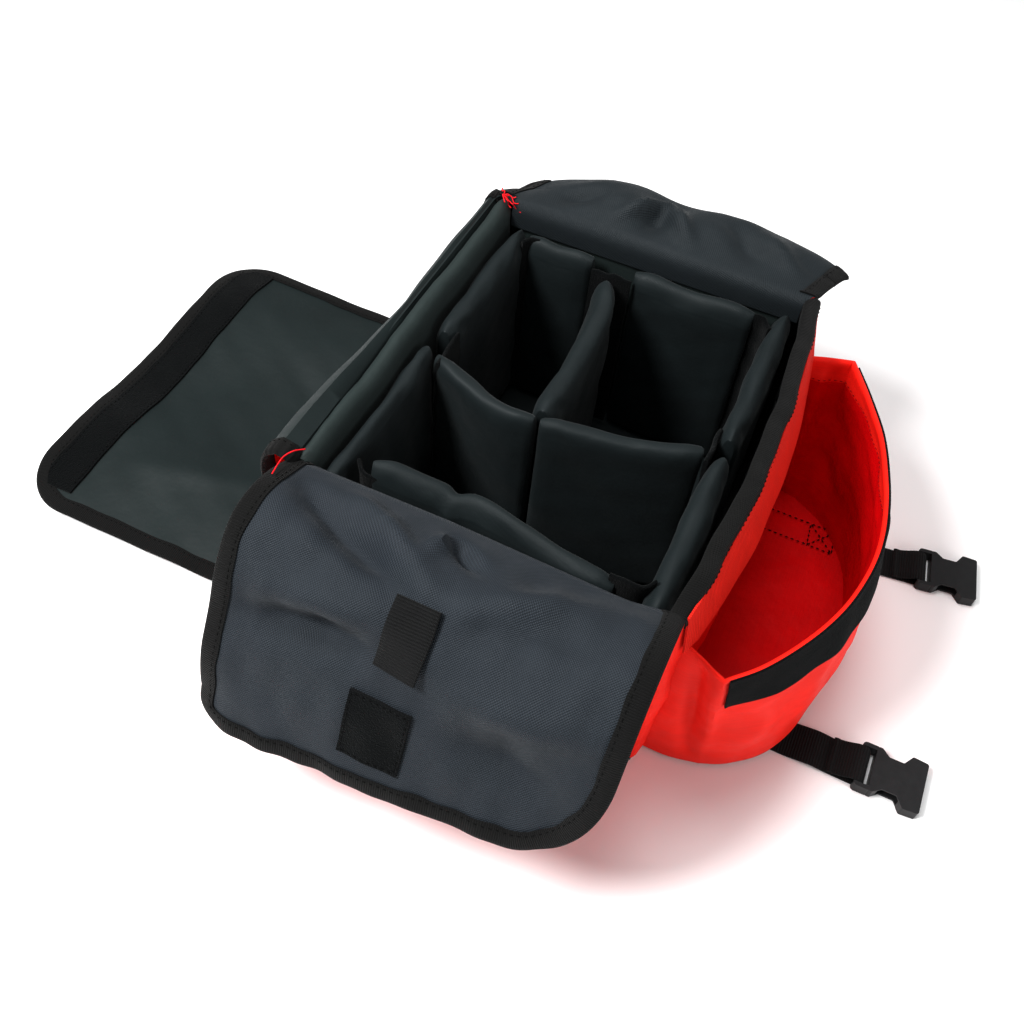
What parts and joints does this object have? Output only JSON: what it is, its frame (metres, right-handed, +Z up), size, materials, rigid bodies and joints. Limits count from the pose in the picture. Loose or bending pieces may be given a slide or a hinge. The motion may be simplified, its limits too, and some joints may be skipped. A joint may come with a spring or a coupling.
{
  "type": "padded equipment bag",
  "caption": "Open padded equipment bag: fold-over lid, end flaps, lift-out divider insert, front bellows pocket and side-release buckle straps.",
  "frame": {"origin": "centre of the bag's flat underside, on the surface it stands on", "axes": "+Z up, +X along the bag towards the end with two compartments, -Y towards the pocket and buckles"},
  "size_m": [0.4621, 0.6444, 0.1749],
  "materials": {
    "red_fabric": "coated nylon oxford, satin",
    "red_webbing": "ribbed grosgrain",
    "black_binding": "ribbed binding tape",
    "black_padding": "nylon over foam",
    "hook_and_loop": "velcro",
    "lid_cloth": "nylon lining, red outside",
    "flap_cloth": "coarse nylon weave",
    "black_webbing": "ribbed webbing",
    "buckle_plastic": "moulded acetal, satin",
    "board_plastic": "corrugated stiffener"
  },
  "bodies": {
    "bag_body": {"bottom_skin": "red_fabric", "base_board": "board_plastic", "front_skin": "red_fabric", "back_skin": "red_fabric", "left_skin": "red_fabric", "right_skin": "red_fabric", "front_foam": "black_padding", "back_foam": "black_padding", "left_foam": "black_padding", "right_foam": "black_padding", "front_rim_webbing": "red_webbing", "front_rim_binding": "black_binding", "pocket_panel": "red_fabric", "pocket_left_gusset": "red_fabric", "pocket_right_gusset": "red_fabric", "pocket_floor": "red_fabric", "pocket_loop_strip": "hook_and_loop", "base_straps": "black_webbing"},
    "insert_tray": {"insert_floor": "black_padding", "insert_left_pad": "black_padding", "insert_right_pad_front": "black_padding", "insert_right_pad_back": "black_padding", "insert_front_pad_left": "black_padding", "insert_front_pad_right": "black_padding", "insert_back_pad_left": "black_padding", "insert_back_pad_right": "black_padding", "insert_tabs": "hook_and_loop"},
    "cross_panel": {"cross_divider_back": "black_padding", "cross_divider_front": "black_padding", "cross_divider_tabs": "hook_and_loop"},
    "long_panel": {"long_divider": "black_padding", "long_divider_tab": "hook_and_loop"},
    "lid_hanging": {"lid_back_panel": "lid_cloth", "lid_back_binding": "black_binding"},
    "lid_middle": {"lid_top_panel": "lid_cloth", "lid_top_binding": "black_binding", "lid_top_straps": "black_webbing"},
    "lid_end": {"lid_front_panel": "lid_cloth", "lid_front_binding": "black_binding", "lid_hook_strip": "hook_and_loop", "lid_front_straps": "black_webbing"},
    "left_flap_near": {"left_flap_root": "flap_cloth", "left_flap_root_binding": "black_binding"},
    "left_flap_far": {"left_flap_end": "flap_cloth", "left_flap_end_binding": "black_binding", "left_flap_tab": "black_webbing", "left_flap_patch": "hook_and_loop"},
    "right_flap_near": {"right_flap_root": "flap_cloth", "right_flap_root_binding": "black_binding"},
    "right_flap_far": {"right_flap_end": "flap_cloth", "right_flap_end_binding": "black_binding", "right_flap_tab": "black_webbing", "right_flap_patch": "hook_and_loop"},
    "left_webbing": {"left_strap": "black_webbing"},
    "right_webbing": {"right_strap": "black_webbing"},
    "left_female": {"left_socket": "buckle_plastic"},
    "right_female": {"right_socket": "buckle_plastic"},
    "left_male": {"left_plug": "buckle_plastic"},
    "right_male": {"right_plug": "buckle_plastic"}
  },
  "joints": [
    {"name": "lid_hinge", "type": "hinge", "parent": "bag_body", "child": "lid_hanging", "pos_m": [0, 0.1155, 0.1765], "axis": [1, 0, 0], "range_deg": [0, 270]},
    {"name": "lid_fold_back", "type": "hinge", "parent": "lid_hanging", "child": "lid_middle", "pos_m": [0, 0.1155, 0.0107], "axis": [1, 0, 0], "range_deg": [-90, 0]},
    {"name": "lid_fold_front", "type": "hinge", "parent": "lid_middle", "child": "lid_end", "pos_m": [0, 0.2735, 0.0107], "axis": [1, 0, 0], "range_deg": [0, 90]},
    {"name": "left_flap_hinge", "type": "hinge", "parent": "bag_body", "child": "left_flap_near", "pos_m": [-0.1385, 0, 0.1675], "axis": [0, 1, 0], "range_deg": [0, 173.2]},
    {"name": "left_flap_fold", "type": "hinge", "parent": "left_flap_near", "child": "left_flap_far", "pos_m": [-0.18815, 0, 0.17342], "axis": [0, 1, 0], "range_deg": [0, 67.2]},
    {"name": "right_flap_hinge", "type": "hinge", "parent": "bag_body", "child": "right_flap_near", "pos_m": [0.1385, 0, 0.1722], "axis": [0, -1, 0], "range_deg": [0, 180]},
    {"name": "right_flap_fold", "type": "hinge", "parent": "right_flap_near", "child": "right_flap_far", "pos_m": [0.1765, 0, 0.1722], "axis": [0, -1, 0], "range_deg": [0, 72]},
    {"name": "left_strap_swing", "type": "hinge", "parent": "bag_body", "child": "left_webbing", "pos_m": [-0.075, -0.199, 0.0009], "axis": [-1, 0, 0], "range_deg": [0, 75]},
    {"name": "right_strap_swing", "type": "hinge", "parent": "bag_body", "child": "right_webbing", "pos_m": [0.087, -0.196, 0.0009], "axis": [-0.9903, -0.1392, 0], "range_deg": [0, 75]},
    {"name": "left_socket_pivot", "type": "hinge", "parent": "left_webbing", "child": "left_female", "pos_m": [-0.075, -0.242, 0.0043], "axis": [1, 0, 0], "range_deg": [-30, 0]},
    {"name": "right_socket_pivot", "type": "hinge", "parent": "right_webbing", "child": "right_female", "pos_m": [0.0941, -0.2465, 0.0043], "axis": [0.9903, 0.1392, 0], "range_deg": [-30, 0]},
    {"name": "left_plug_pivot", "type": "hinge", "parent": "lid_end", "child": "left_male", "pos_m": [-0.075, 0.2975, 0.0055], "axis": [1, 0, 0], "range_deg": [-25, 0]},
    {"name": "right_plug_pivot", "type": "hinge", "parent": "lid_end", "child": "right_male", "pos_m": [0.087, 0.2975, 0.0055], "axis": [1, 0, 0], "range_deg": [-25, 0]},
    {"name": "insert_lift", "type": "slide", "parent": "bag_body", "child": "insert_tray", "axis": [0, 0, -1], "range_m": [-0.2, 0]},
    {"name": "cross_divider_lift", "type": "slide", "parent": "insert_tray", "child": "cross_panel", "axis": [0, 0, -1], "range_m": [-0.15, 0]},
    {"name": "long_divider_lift", "type": "slide", "parent": "insert_tray", "child": "long_panel", "axis": [0, 0, -1], "range_m": [-0.15, 0]}
  ],
  "couplings": [
    {"joint": "lid_fold_back", "follows": "lid_hinge", "ratio": -0.33333},
    {"joint": "lid_fold_front", "follows": "lid_hinge", "ratio": 0.33333},
    {"joint": "left_flap_fold", "follows": "left_flap_hinge", "ratio": 0.38799},
    {"joint": "right_flap_fold", "follows": "right_flap_hinge", "ratio": 0.4}
  ]
}
